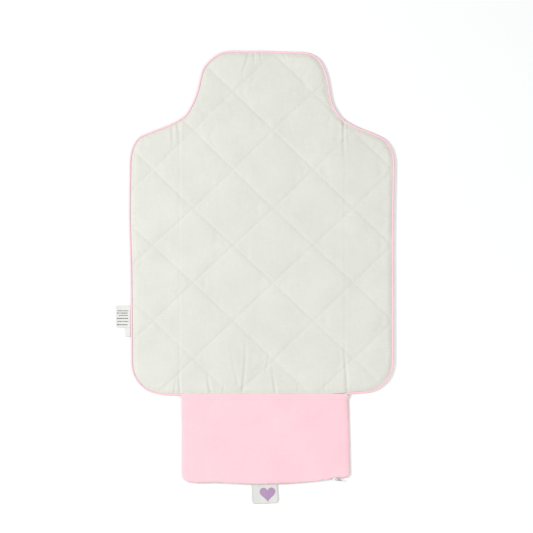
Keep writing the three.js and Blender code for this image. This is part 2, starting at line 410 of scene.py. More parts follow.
def apply_modifiers(obj):
    """Bakes the object's modifiers into its mesh."""
    depsgraph = bpy.context.evaluated_depsgraph_get()
    mesh = bpy.data.meshes.new_from_object(obj.evaluated_get(depsgraph))
    obj.modifiers.clear()
    obj.data = mesh
    return obj


def subdivide(obj):
    modifier = obj.modifiers.new("fine", "SUBSURF")
    modifier.levels = 1
    modifier.render_levels = 1
    return apply_modifiers(obj)


def thicken(obj, thickness, offset=-1.0):
    modifier = obj.modifiers.new("thickness", "SOLIDIFY")
    modifier.thickness = thickness
    modifier.offset = offset
    return apply_modifiers(obj)


def drop(obj):
    mesh = obj.data
    bpy.data.objects.remove(obj)
    bpy.data.meshes.remove(mesh)


def inflate(obj, pinned, frames, pressure, growth):
    """Cloth simulation: the cloth grows a little between its pinned points, and air lifts it."""
    group = obj.vertex_groups.new(name="pinned")
    group.add([int(i) for i in np.flatnonzero(pinned)], 1.0, "REPLACE")
    modifier = obj.modifiers.new("cloth", "CLOTH")
    settings = modifier.settings
    settings.quality = 5
    settings.mass = 0.002
    settings.air_damping = 4
    settings.tension_stiffness = 12
    settings.compression_stiffness = 12
    settings.shear_stiffness = 5
    settings.bending_stiffness = 0.02
    settings.vertex_group_mass = group.name
    settings.use_pressure = True
    settings.uniform_pressure_force = pressure
    settings.shrink_min = -growth
    settings.effector_weights.gravity = 0
    modifier.point_cache.frame_start = 1
    modifier.point_cache.frame_end = frames
    scene = bpy.context.scene
    for step in range(1, frames + 1):
        scene.frame_set(step)
    depsgraph = bpy.context.evaluated_depsgraph_get()
    evaluated = obj.evaluated_get(depsgraph)
    moved = coordinates(evaluated.data)
    obj.modifiers.remove(modifier)
    scene.frame_set(1)
    return moved


def wander(x, y, scale, seed):
    """A smooth unevenness from about -1 to 1, with features of the given size."""
    found = [noise.noise((float(a) / scale, float(b) / scale, seed)) for a, b in zip(x, y)]
    return np.array(found) * 1.6


def rise(distance_from_edge, reach):
    """0 at an edge, and 1 well away from it."""
    return 1 - np.exp(-np.maximum(distance_from_edge, 0) / reach)


def swell(off, reach):
    """1 at a line, and 0 well away from it on both sides."""
    return np.exp(-((off / reach) ** 2))


# ---------------- materials

def new_material(name):
    material = bpy.data.materials.new(name)
    material.use_nodes = True
    tree = material.node_tree
    shader = tree.nodes["Principled BSDF"]
    return material, tree, shader


def feed(tree, socket, value):
    """Gives a socket a plain value, or links it to another node's output."""
    if isinstance(value, bpy.types.NodeSocket):
        tree.links.new(value, socket)
    else:
        socket.default_value = value


def feed_all(tree, shader, values):
    for name, value in values.items():
        feed(tree, shader.inputs[name], value)


def node(tree, kind, **values):
    made = tree.nodes.new(kind)
    for name, value in values.items():
        if name in made.inputs:
            feed(tree, made.inputs[name], value)
        else:
            setattr(made, name, value)
    return made


def math_node(tree, operation, *values):
    made = node(tree, "ShaderNodeMath", operation=operation)
    for socket, value in zip(made.inputs, values):
        feed(tree, socket, value)
    return made.outputs[0]


def colour_ramp(tree, factor, stops):
    ramp = node(tree, "ShaderNodeValToRGB", Fac=factor)
    for element, (position, colour) in zip(ramp.color_ramp.elements, (stops[0], stops[-1])):
        element.position = position
        element.color = (*colour, 1)
    for position, colour in stops[1:-1]:
        ramp.color_ramp.elements.new(position).color = (*colour, 1)
    return ramp.outputs[0]


def cloth_coordinates(tree, scale, turn=0.0):
    """The cloth's own flat coordinates, in metres, scaled and turned."""
    source = node(tree, "ShaderNodeUVMap", uv_map=UV).outputs[0]
    return node(tree, "ShaderNodeMapping", Vector=source, Scale=scale, Rotation=(0, 0, turn)).outputs[0]


def bump(tree, height, strength, reach, before=None):
    made = node(tree, "ShaderNodeBump", Strength=strength, Distance=reach, Height=height)
    if before is not None:
        tree.links.new(before, made.inputs["Normal"])
    return made.outputs[0]


def split_place(tree, turn=0.0):
    """The two directions of the cloth's flat coordinates."""
    place = cloth_coordinates(tree, (1, 1, 1), turn)
    return node(tree, "ShaderNodeSeparateXYZ", Vector=place).outputs


def solid_texture(tree, kind, **values):
    """A texture in the object's own space."""
    place = node(tree, "ShaderNodeTexCoord").outputs["Object"]
    return node(tree, kind, Vector=place, **values).outputs["Fac"]


def threads(tree, pitch, turn):
    """Over-and-under threads: a height from -1 to 1."""
    phases = [math_node(tree, "MULTIPLY", place, math.pi / pitch) for place in split_place(tree, turn)[:2]]
    return math_node(tree, "MULTIPLY", *[math_node(tree, "SINE", phase) for phase in phases])


def cloth_noise(tree, scale, turn, detail, roughness):
    """Unevenness in the cloth, with features of 1 / scale metres along and across it."""
    place = cloth_coordinates(tree, scale, turn)
    made = node(tree, "ShaderNodeTexNoise", Vector=place, Scale=1.0, Detail=detail, Roughness=roughness)
    return made.outputs["Fac"]


def cloth_material(name, light, dark, pitch, crinkle, turn=0.0, sheen=0.15, roughness=0.92):
    """Woven cotton: threads, soft crinkles, slubs and a slightly uneven colour."""
    material, tree, shader = new_material(name)
    weave = threads(tree, pitch, turn)
    crinkles = cloth_noise(tree, (150, 62, 1), turn, 3.0, 0.55)
    slubs = cloth_noise(tree, (45, 620, 1), turn, 2.0, 0.5)
    patches = cloth_noise(tree, (16, 16, 1), turn, 4.0, 0.6)
    ripples = cloth_noise(tree, (26, 190, 1), turn, 2.0, 0.5)
    mixed = math_node(tree, "MULTIPLY_ADD", slubs, 0.35, patches)
    shade = math_node(tree, "MULTIPLY_ADD", weave, 0.12, mixed)
    fine = bump(tree, weave, 0.25, pitch * 0.35)
    slub = bump(tree, slubs, 0.18, 0.12 * MM, fine)
    soft = bump(tree, crinkles, crinkle, 1.6 * MM, slub)
    smooth, worn = (roughness - 0.04,) * 3, (roughness + 0.04,) * 3
    feed_all(tree, shader, {
        "Base Color": colour_ramp(tree, shade, [(0.35, dark), (0.95, light)]),
        "Normal": bump(tree, ripples, 0.5 * crinkle, 1.2 * MM, soft),
        "Roughness": colour_ramp(tree, patches, [(0.3, smooth), (0.7, worn)]),
        "Sheen Weight": sheen,
        "Sheen Roughness": 0.5,
        "Specular IOR Level": 0.2,
    })
    return material


def thread_material(name, colour):
    """Sewing thread: twisted plies, seen as fine slanted bands."""
    material, tree, shader = new_material(name)
    bands = {"Scale": 900.0, "Distortion": 0.5, "bands_direction": "DIAGONAL"}
    twisted = solid_texture(tree, "ShaderNodeTexWave", **bands)
    dark = tuple(0.86 * c for c in colour)
    feed_all(tree, shader, {
        "Base Color": colour_ramp(tree, twisted, [(0.2, dark), (0.8, colour)]),
        "Normal": bump(tree, twisted, 0.4, 0.1 * MM),
        "Roughness": 0.6,
        "Sheen Weight": 0.1,
    })
    return material


def hard_material(name, light, dark, metal, smooth, worn, scale):
    """Moulded or plated small parts: a mottled surface with scuffs."""
    material, tree, shader = new_material(name)
    uneven = solid_texture(tree, "ShaderNodeTexNoise", Scale=scale, Detail=5.0, Roughness=0.6)
    feed_all(tree, shader, {
        "Base Color": colour_ramp(tree, uneven, [(0.35, dark), (0.7, light)]),
        "Roughness": colour_ramp(tree, uneven, [(0.3, (smooth,) * 3), (0.75, (worn,) * 3)]),
        "Normal": bump(tree, uneven, 0.15, 0.05 * MM),
        "Metallic": metal,
    })
    return material


def satin_material(name, light, dark, roughness=0.5):
    """Smooth ribbon with a fine weave."""
    return cloth_material(name, light, dark, 0.25 * MM, 0.10, 0.0, 0.05, roughness)


def banded_material(name, light, dark, middle, half_width):
    """Satin ribbon with a denser selvedge along both sides of its middle line."""
    material = satin_material(name, light, dark)
    tree = material.node_tree
    shader = tree.nodes["Principled BSDF"]
    woven = shader.inputs["Base Color"].links[0].from_socket
    off = math_node(tree, "ABSOLUTE", math_node(tree, "SUBTRACT", split_place(tree)[0], middle))
    band = math_node(tree, "MULTIPLY", math_node(tree, "SUBTRACT", off, half_width), 1 / (1.2 * MM))
    selvedge = [(0.0, (1, 1, 1)), (0.6, (0.86, 0.88, 0.85)), (1.0, (0.92, 0.93, 0.91))]
    shade = colour_ramp(tree, band, selvedge)
    mix = node(tree, "ShaderNodeMix", data_type="RGBA", blend_type="MULTIPLY", Factor=1.0)
    feed(tree, mix.inputs[6], woven)
    feed(tree, mix.inputs[7], shade)
    feed(tree, shader.inputs["Base Color"], mix.outputs[2])
    return material


WHITE = cloth_material("white_muslin", (0.745, 0.75, 0.69), (0.67, 0.675, 0.615), 0.75 * MM, 0.30)
PINK = cloth_material("pink_muslin", (0.96, 0.645, 0.70), (0.92, 0.58, 0.645), 0.75 * MM, 0.26)
BIAS = math.radians(45)
PIPING = cloth_material("pink_piping", (0.96, 0.655, 0.715), (0.92, 0.60, 0.665), 0.6 * MM, 0.25, BIAS)
SATIN_LIGHT, SATIN_DARK = (0.76, 0.77, 0.74), (0.68, 0.69, 0.655)
SATIN = satin_material("label_satin", SATIN_LIGHT, SATIN_DARK)
TAPE = cloth_material("zip_tape", (0.86, 0.62, 0.67), (0.74, 0.52, 0.57), 0.5 * MM, 0.12)
WHITE_THREAD = thread_material("white_thread", (0.74, 0.74, 0.69))
PINK_THREAD = thread_material("pink_thread", (0.92, 0.60, 0.67))
EDGE_THREAD = thread_material("edge_thread", (0.80, 0.70, 0.67))
BANDED = banded_material("banded_label", SATIN_LIGHT, SATIN_DARK, 4 * MM, 18.5 * MM)
MOTIF = satin_material("motif_print", (0.50, 0.33, 0.52), (0.40, 0.25, 0.42), 0.6)
PRINT = satin_material("grey_print", (0.16, 0.16, 0.155), (0.10, 0.10, 0.10), 0.6)
NYLON = hard_material("zip_nylon", (0.95, 0.96, 0.93), (0.87, 0.88, 0.85), 0.0, 0.35, 0.5, 900.0)
PLATED = hard_material("zip_plating", (0.93, 0.93, 0.92), (0.82, 0.82, 0.82), 0.15, 0.35, 0.5, 700.0)
DARK_METAL = hard_material("pull_plating", (0.48, 0.48, 0.49), (0.33, 0.33, 0.34), 0.5, 0.3, 0.5, 700.0)


# ---------------- the quilted pad

REGIONS = ("centre", "left_wing", "right_wing", "head")


def region_of(points):
    """Which panel each point belongs to, as a number in REGIONS."""
    x, y = points[:, 0], points[:, 1]
    return np.where(y > HEAD_START, 3, np.where(x < -WING_START, 1, np.where(x > WING_START, 2, 0)))


def attach(obj, region):
    """The piece rides on the centre, or bends across the fold to its own panel."""
    if region == "centre":
        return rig.ride(obj, "centre")
    if region == "head":
        start, end = (0, HEAD_START, 0), (0, HEAD_FOLD + HEAD_FOLD_HALF, 0)
    else:
        side = -1 if region == "left_wing" else 1
        start, end = (side * WING_START, 0, 0), (side * (CREASE + FOLD_HALF), 0, 0)
    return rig.blend(obj, "centre", region, start=start, end=end)


def split_by_region(obj, name, material):
    """Cuts a mesh of quads that carry their panel as material index into one piece for each panel."""
    mesh = obj.data
    points = coordinates(mesh)
    normals = np.array([v.normal for v in mesh.vertices])
    by_vertex = flat_of(mesh)
    pieces = {}
    for number, region in enumerate(REGIONS):
        faces = np.array([p.vertices for p in mesh.polygons if p.material_index == number])
        used, place = np.unique(faces, return_inverse=True)
        faces = place.reshape(-1, 4)
        piece = make(f"{name}_{region}", points[used], faces, by_vertex[used], material)
        piece.data.normals_split_custom_set_from_vertices([tuple(n) for n in normals[used]])
        pieces[region] = piece
    drop(obj)
    return pieces


def diamond_lines(loop):
    """The quilting lines, both ways, cut to the outline."""
    slope = DIAMOND_HALF_HEIGHT / DIAMOND_HALF_WIDTH
    x = np.arange(-0.26, 0.26, 0.5 * MM)
    lines = []
    for way in (-1, 1):
        for count in range(-8, 9):
            y = DIAMOND_Y + way * slope * (x - DIAMOND_X) + 2 * DIAMOND_HALF_HEIGHT * count
            lines += runs_inside(np.stack([x, y], axis=1), loop, least=30)
    return lines


def diamond_distance(points):
    """How far each point is from the nearest quilting line of each way."""
    slope = DIAMOND_HALF_HEIGHT / DIAMOND_HALF_WIDTH
    period = 2 * DIAMOND_HALF_HEIGHT
    found = []
    for way in (-1, 1):
        height = points[:, 1] - DIAMOND_Y - way * slope * (points[:, 0] - DIAMOND_X)
        off = np.abs((height + period / 2) % period - period / 2)
        found.append(off / math.sqrt(1 + slope**2))
    return found


# Heights of the top at its seam, its stitches and its crowns, and how far the rise from each reaches
SEAM_Z = 2.9 * MM
POCKET_SEAM_LIFT = 1.2 * MM
STITCH_Z = 4.7 * MM
CROWN_Z = 5.6 * MM
SEAM_REACH = 2.3 * MM
PUFF_REACH = 9 * MM
PUCKER_PRESS = 2.1

# The wings' pressed creases: they lie a little inside the hinge lines, and end at the neck
CREASE_SHIFT = 0.2 * MM
CREASE_INSET = 2.2 * MM
CREASE_TOP = 259 * MM

# Soft puckers that run from a seam into the pad, in millimetres:
# x and y at the seam, length into the pad, lean, width, depth
PUCKERS = [
    (-145, -191, 30, 2, 1.6, 0.5), (-137, -191, 38, 1, 1.7, 0.5), (-86, -191, 38, -3, 2.3, 0.65),
    (-64, -191, 24, 1, 1.7, 0.35), (-32, -191, 96, 5, 2.2, 0.6), (-42, -172, 60, -8, 2.6, 0.3),
    (20.5, -191, 48, -2, 2.3, 0.65), (6, -152, 34, 5, 1.8, 0.45), (60, -191, 24, 2, 1.7, 0.3),
    (104, -191, 32, 1, 1.8, 0.35), (139, -191, 84, -3, 2.1, 0.8), (-24, 368, -38, -8, 2.1, 0.55),
    (-13, 368, -24, -3, 1.7, 0.45), (-1.5, 368, -19, 0, 1.7, 0.4), (37, 368, -15, 2, 1.7, 0.35),
    (-147, 254, -42, -1, 2.0, 0.6), (-139.5, 257, -38, 1, 1.9, 0.55), (134, 257, -62, 2, 2.4, 0.95),
    (141.5, 254, -34, 1, 1.9, 0.55),
]

# How the soft pad happens to lie, in millimetres:
# x, y, reach in x and y, and small shifts in x and y from its cut shape
SHIFTS = [
    (-92, 364, 24, 24, 5.0, -3.6), (-50, 370, 18, 24, 0, 1.4), (40, 370, 50, 24, 0, -0.8),
    (104, 326, 24, 20, 3.8, 0), (124, 272, 20, 20, -2.2, -1.6), (165, 250, 52, 42, 0, -3.2),
    (-112, 300, 30, 44, 1.3, 0), (-165, 250, 60, 40, 0.5, -0.3), (-215, 105, 60, 60, -1.7, 0),
    (-215, -90, 70, 120, 0.6, 0), (215, 70, 60, 110, -1.9, 0), (215, -110, 60, 50, -0.2, 0),
    (172, -193, 40, 50, 0, 2.6), (196, -178, 26, 26, -2.0, 1.4), (0, 130, 600, 90, 0, -3.4),
    (-128, 268, 14, 14, 1.6, -1.6), (204, 228, 22, 22, -2.2, -1.4), (112, 306, 16, 18, 1.5, 0),
    (124, 275, 12, 8, 1.5, 0), (154, -190, 18, 26, 0, 1.0), (184, -188, 14, 20, 0, -1.2),
    (-202, -174, 18, 18, 1.2, 1.0), (18, -133, 36, 24, 0, -2.0), (76, 302, 18, 18, -3.0, -3.4),
]


def lay(points):
    """Where points on the cut shape come to lie."""
    x, y = points[:, 0] / MM, points[:, 1] / MM
    moved = points.copy()
    for at_x, at_y, reach_x, reach_y, shift_x, shift_y in SHIFTS:
        near = swell(x - at_x, reach_x) * swell(y - at_y, reach_y) * MM
        moved[:, 0] += shift_x * near
        moved[:, 1] += shift_y * near
    return moved


def puckers(points):
    """How deep the puckers are pressed in, in millimetres: valleys with a low ridge on each side."""
    depth = np.zeros(len(points))
    for x, y, length, lean, width, deep in PUCKERS:
        along = (points[:, 1] / MM - y) / length
        run = np.clip(along, 0, 1)
        across = (points[:, 0] / MM - x - lean * run - 1.3 * np.sin(run * 4 + x)) / width
        fade = np.where((along > -0.1) & (along < 1), (1 - run) ** 0.7, 0)
        ridges = 0.4 * swell(across + 1.8, 1.2) + 0.18 * swell(across - 2.0, 1.4)
        depth += PUCKER_PRESS * deep * fade * (swell(across, 1.0) - ridges)
    return depth


def beside_pocket(points):
    """1 along the bottom edge where the pocket is sewn on, and 0 elsewhere."""
    from_side = np.minimum(points[:, 0] - POCKET_LEFT, POCKET_RIGHT - points[:, 0])
    return np.clip(from_side / (5 * MM), 0, 1) * (points[:, 1] < 0)


def quilt_height(points, edge):
    """The quilted surface's height before the cloth is simulated."""
    one, other = diamond_distance(points)
    puff = rise(one, PUFF_REACH) * rise(other, PUFF_REACH)
    body = STITCH_Z + (CROWN_Z - STITCH_Z) * puff
    seam = SEAM_Z + POCKET_SEAM_LIFT * beside_pocket(points)
    return seam + (body - seam) * rise(distance(points, edge), SEAM_REACH)


def crease_depth(points):
    """How deep the fold lines are pressed in, in millimetres: the wings' are deeper near their ends."""
    x, y = points.T
    from_crease = np.abs(x - CREASE_SHIFT) - CREASE + CREASE_INSET
    wings = 0.5 * swell(from_crease, 1.7 * MM) - 0.2 * swell(from_crease + 4 * MM, 2 * MM)
    near_top = np.exp(-np.maximum(CREASE_TOP - y, 0) / (34 * MM))
    near_bottom = np.exp(-np.maximum(y - BOTTOM_EDGE, 0) / (55 * MM))
    head = 0.2 * swell(y - HEAD_FOLD, 1.8 * MM)
    return wings * (0.55 + 0.7 * near_top + 0.6 * near_bottom) + head


def fine_relief(points, edge):
    """What the thread and the creases press into the finished surface."""
    one, other = diamond_distance(points)
    off = distance(points, edge)
    pressed = 0.58 * np.exp(-np.minimum(one, other) / (2.1 * MM)) * rise(off, 2 * MM)
    pressed += 0.35 * swell(off - TOPSTITCH_INSET + SEAM_INSET, 1.1 * MM)
    pressed += crease_depth(points) * rise(off, 3 * MM)
    pressed += puckers(points) * rise(off, 1.2 * MM)
    return pressed * MM


def region_cuts(loop):
    """The lines between the panels, cut to the loop."""
    y = np.arange(-0.2, 0.38, MM)
    x = np.arange(-0.2, 0.2, MM)
    lines = [np.stack([np.full(len(y), side * WING_START), y], axis=1) for side in (-1, 1)]
    lines.append(np.stack([x, np.full(len(x), HEAD_START)], axis=1))
    return [resample(run, MESH_STEP) for line in lines for run in runs_inside(line, loop)]


def mark_regions(obj, flat, material):
    """Gives each face its panel's number, as its material index."""
    region = region_of(flat[np.array([p.vertices for p in obj.data.polygons])].mean(1))
    for _ in REGIONS:
        obj.data.materials.append(material)
    obj.data.polygons.foreach_set("material_index", region)


def blow_up(obj, flat, height, sewn):
    """The simulated cloth's points, held within the pad's thickness."""
    moved = inflate(obj, sewn, frames=16, pressure=2.0, growth=0.012)
    lift = np.clip(moved[:, 2] - height, -0.6 * MM, 3.0 * MM)
    room = PAD_TOP - 0.1 * MM - height
    height = height + np.where(lift > 0, room * np.tanh(lift / (2.2 * MM)) * 0.75, lift)
    shift = np.clip(moved[:, :2] - flat, -1.5 * MM, 1.5 * MM)
    return np.column_stack([flat + shift, height])


def quilt_top():
    """The quilted cover, with edges along the stitch lines, blown up between them."""
    edge = outline(MESH_STEP, SEAM_INSET)
    fine_edge = outline(2 * MM, SEAM_INSET + 0.5 * MM)
    diamonds = [resample(line, MESH_STEP) for line in diamond_lines(fine_edge)]
    flat, faces = triangulate(edge, diamonds + region_cuts(fine_edge), MESH_STEP)
    height = quilt_height(flat, edge)
    points = np.column_stack([flat, height])
    obj = make("quilt", points, faces, flat)
    one, other = diamond_distance(flat)
    sewn = (np.minimum(one, other) < 0.2 * MM) | (distance(flat, edge) < 0.2 * MM)
    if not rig.quick():
        points = blow_up(obj, flat, height, sewn)
    level = rise(distance(flat, edge), 8 * MM)
    points[:, 2] += 0.22 * MM * wander(flat[:, 0], flat[:, 1], 35 * MM, 3.0) * level
    points[:, 2] = np.minimum(points[:, 2], PAD_TOP + 0.05 * MM)
    set_coordinates(obj.data, points)
    mark_regions(obj, flat, WHITE)
    subdivide(obj)
    points = coordinates(obj.data)
    points[:, 2] -= fine_relief(flat_of(obj.data), edge)
    points[:, :2] = lay(points[:, :2])
    set_coordinates(obj.data, points)
    return obj


def backing():
    """The plain cloth underneath: flat on the floor, and turned up into the piping at its edge."""
    edge = outline(MESH_STEP, SEAM_INSET)
    flat, faces = triangulate(edge, region_cuts(edge), MESH_STEP * 1.25)
    off = distance(flat, edge)
    height = 0.25 * MM + 2.5 * MM * np.exp(-off / (3.2 * MM))
    ripple = np.maximum(0, wander(flat[:, 0], flat[:, 1], 28 * MM, 9.0))
    height += 0.45 * MM * ripple * rise(off, 9 * MM)
    obj = make("backing", np.column_stack([lay(flat), height]), faces[:, ::-1], flat)
    mark_regions(obj, flat, PINK)
    return subdivide(obj)


# ---------------- piping

PIPING_STEP = 1.3 * MM
PIPING_SIDES = 14
PIPING_ANGLES = np.linspace(0, 2 * math.pi, PIPING_SIDES, endpoint=False)
PIPING_DIP = 0.5 * MM


def tube(name, route, radius, along_start):
    """A round tube along a route. radius has a row for each ring."""
    ahead = unit(np.gradient(route, axis=0))
    out = np.stack([ahead[:, 1], -ahead[:, 0], np.zeros(len(route))], axis=1)
    angle = PIPING_ANGLES
    ring = np.cos(angle)[None, :, None] * out[:, None] + np.sin(angle)[None, :, None] * (0, 0, 1)
    points = (route[:, None] + radius[..., None] * ring).reshape(-1, 3)
    step = np.linalg.norm(np.diff(route, axis=0), axis=1)
    along = along_start + np.concatenate([[0], np.cumsum(step)])
    flat = np.stack(np.broadcast_arrays(along[:, None], angle[None] * TUBE_RADIUS), axis=-1).reshape(-1, 2)
    return make(name, points, ring_faces(len(route), PIPING_SIDES), flat, PIPING)


def piping():
    """The piping all round, in one piece for each panel that it follows."""
    loop = outline(PIPING_STEP, TUBE_RADIUS - PIPING_RADIUS)
    loop = np.roll(loop, -np.argmin(np.abs(loop[:, 0]) + (loop[:, 1] > 0)), axis=0)
    loop = np.concatenate([loop, loop[:1]])
    region = region_of(loop)
    cuts = np.flatnonzero(np.diff(region)) + 1
    runs = np.split(np.arange(len(loop)), cuts)
    pieces = []
    for run in runs:
        last = min(run[-1] + 1, len(loop) - 1)
        chosen = np.arange(run[0], last + 1)
        flat = loop[chosen]
        along = chosen * PIPING_STEP
        twist = np.sin(2 * math.pi * along[:, None] / (4.3 * MM) + PIPING_ANGLES[None])
        uneven = wander(along, along * 0, 12 * MM, 5.0)[:, None]
        radius = TUBE_RADIUS * (0.97 + 0.025 * twist + 0.035 * uneven)
        sag = 0.18 * MM * wander(along, along * 0, 60 * MM, 7.0)
        covered = beside_pocket(flat)
        route = np.column_stack([lay(flat), PIPING_Z + sag * (1 - covered) - PIPING_DIP * covered])
        panel = REGIONS[region[run[0]]]
        obj = tube(f"piping_{panel}_{len(pieces)}", route, radius, along[0])
        pieces.append((obj, panel))
    return pieces


# ---------------- stitches

def stitch_template():
    """One stitch, 1 long and 1 thick: a thread that dips into the cloth at both ends."""
    rings, sides = 5, 6
    points = []
    for i in range(rings):
        along = i / (rings - 1) - 0.5
        size = math.sqrt(max(0.12, 1 - (2 * along) ** 4)) / 2
        dip = -1.3 * (2 * along) ** 4
        for j in range(sides):
            turn = 2 * math.pi * j / sides
            points.append((along, math.cos(turn) * size, math.sin(turn) * size + dip))
    return np.array(points), ring_faces(rings, sides)


def surface_tree(objects):
    points, faces = [], []
    for obj in objects:
        start = len(points)
        points += [v.co for v in obj.data.vertices]
        faces += [tuple(start + i for i in p.vertices) for p in obj.data.polygons]
    return BVHTree.FromPolygons(points, faces)


def surface_point(tree, x, y):
    """The surface's top point at a place, or None where there is no surface."""
    return tree.ray_cast(Vector((x, y, 50 * MM)), Vector((0, 0, -1)))[0]


def on_surface(tree, x, y, above):
    """A point just above the surface at a place that it covers."""
    return (x, y, surface_point(tree, x, y).z + above)


def stitches(name, lines, tree, material, split=True):
    """Rows of stitches on a surface, in one piece for each panel, or in one piece in all."""
    template, template_faces = stitch_template()
    made = {}
    for line in lines:
        line = resample(line, STITCH_PITCH / 2)
        for a, b in zip(line[:-1:2], line[1::2]):
            middle = (a + b) / 2
            panel = REGIONS[region_of(middle[None])[0]] if split else "all"
            ends = [surface_point(tree, *p) for p in (a, b)]
            if None in ends:
                continue
            start, end = (np.array(e) for e in ends)
            ahead = end - start
            size = np.linalg.norm(ahead) * 1.35
            ahead /= np.linalg.norm(ahead)
            side = np.cross((0, 0, 1), ahead)
            side /= np.linalg.norm(side)
            up = np.cross(ahead, side)
            centre = (start + end) / 2 + up * 0.35 * THREAD_RADIUS
            scaled = template * (size, 2 * THREAD_RADIUS, 2 * THREAD_RADIUS)
            points, faces = made.setdefault(panel, ([], []))
            first = sum(len(p) for p in points)
            points.append(centre + scaled[:, :1] * ahead + scaled[:, 1:2] * side + scaled[:, 2:] * up)
            faces += [tuple(first + i for i in f) for f in template_faces]
    pieces = {}
    for panel, (points, faces) in made.items():
        whole = f"{name}_{panel}" if split else name
        pieces[panel] = make(whole, np.concatenate(points), faces, material=material)
    return pieces


# ---------------- building the pad

quilt = split_by_region(quilt_top(), "quilt", WHITE)
under = split_by_region(backing(), "backing", PINK)

quilting = [lay(line) for line in diamond_lines(outline(2 * MM, SEAM_INSET + 1.5 * MM))]
quilt_tree = surface_tree(quilt.values())
quilting_pieces = stitches("quilting", quilting, quilt_tree, WHITE_THREAD)
topstitch = lay(outline(2 * MM, TOPSTITCH_INSET))
edge_rows = stitches("edge_stitches", [np.concatenate([topstitch, topstitch[:1]])], quilt_tree, EDGE_THREAD)

for region, piece in quilt.items():
    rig.slot(piece, "white_muslin")
    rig.padded(piece, fill=0.3)
    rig.replaces(piece, f"{region}_top_cover", f"{region}_wadding", f"{region}_waterproof_liner")
    attach(piece, region)
for region, piece in under.items():
    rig.slot(piece, "pink_muslin")
    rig.replaces(piece, f"{region}_backing")
    attach(piece, region)
for region, piece in list(quilting_pieces.items()) + list(edge_rows.items()):
    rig.slot(piece, "white_muslin")
    attach(piece, region)

PIPING_NODES = {
    "centre": ["bottom"], "head": ["head", "left_neck", "right_neck"],
    "left_wing": ["left_wing"], "right_wing": ["right_wing"],
}
for piece, region in piping():
    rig.slot(piece, "pink_piping")
    for name in PIPING_NODES[region]:
        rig.replaces(piece, f"{name}_piping", f"{name}_piping_cord")
    attach(piece, region)


# ---------------- pocket

def zip_point(x, y, z):
    """A point on the zip, in the frame's axes: x along the mouth, y towards the pad."""
    return (x * ZIP_COS - y * ZIP_SIN, MOUTH_Y + x * ZIP_SIN + y * ZIP_COS, z)


def mouth_y(x):
    return MOUTH_Y + x * ZIP_SIN / ZIP_COS


def mouth_sag(x):
    """How much the soft mouth sags outward, from 0 at its ends to 1."""
    return np.exp(-((x - 22 * MM) / (78 * MM)) ** 4)


POCKET_TOP = POCKET_HIGH.y
POCKET_CORNER = 12 * MM
POCKET_HEIGHT = POCKET_TOP - MOUTH_Y
SLIDER_X = 120 * MM
ZIP_SAG = 5.0 * MM

# Where the cloth starts over the piping, and how far below that its extra rows of points and its stitches are
TUCK_Y = BOTTOM_EDGE + SEAM_INSET + 0.3 * MM
OVER_PIPING = (1.4 * MM, 3.6 * MM)
TOP_ROW = 9.9 * MM

# How much lower the back cloth starts than the front
BACK_SHORT = 3.4 * MM

# Heights of the two cloths
FRONT_CROWN = POCKET_FRONT_Z - 0.8 * MM
FRONT_LIMIT = POCKET_FRONT_Z + 0.6 * MM
FRONT_TOP_Z = 5.1 * MM
FRONT_TOP_DIP = 0.9 * MM
FRONT_MOUTH_Z = 5.15 * MM
FRONT_EDGE_Z = 2.1 * MM
BACK_Z = 0.2 * MM
BACK_EDGE_Z = 1.5 * MM
BACK_TOP_Z = 0.3 * MM
LEFT_LIFT = 1.3 * MM

# How far the cloth leans in at its sides, and how far in that reaches
LEAN_LEFT = 3.4 * MM
LEAN_RIGHT = 3.7 * MM
LEAN_REACH = 30 * MM


def front_edge(x):
    """How far the front cloth reaches beyond the mouth line. It makes room for the slider."""
    ripple = 0.7 * swell(x - 92 * MM, 16 * MM) - 0.9 * swell(x + 30 * MM, 12 * MM)
    at_slider = swell(x - SLIDER_X - MM, 9 * MM)
    return (2.9 + 5.7 * mouth_sag(x) + ripple - 1.3 * at_slider) * MM


def back_edge(x):
    """How far the back cloth reaches beyond the mouth line, which is further than the front."""
    return (4.4 + 6.6 * mouth_sag(x) ** 2) * MM


def pocket_outline():
    """The cut shape of the pocket's cloth: straight sides, and a wide and a tight corner at the mouth."""
    left = np.array([(POCKET_LEFT, TUCK_Y), (POCKET_LEFT, mouth_y(POCKET_LEFT) + POCKET_CORNER)])
    right = np.array([(POCKET_RIGHT, mouth_y(POCKET_RIGHT) + POCKET_CORNER), (POCKET_RIGHT, TUCK_Y)])

    def corner(x, side, reach):
        a = np.array((x, mouth_y(x) + reach))
        b = np.array((x, mouth_y(x)))
        c = np.array((x + side * reach, mouth_y(x + side * reach)))
        return bezier(a, a * 0.35 + b * 0.65, b * 0.65 + c * 0.35, c, 10)

    low_left = corner(POCKET_LEFT, 1, POCKET_CORNER)
    low_right = corner(POCKET_RIGHT, -1, POCKET_CORNER * 0.45)[::-1]
    line = np.concatenate([left, low_left[1:], low_right, right[1:], left[:1]])
    return resample(line, MESH_STEP)[:-1]


def between(share, low, high):
    return low * (1 - share) + high * share


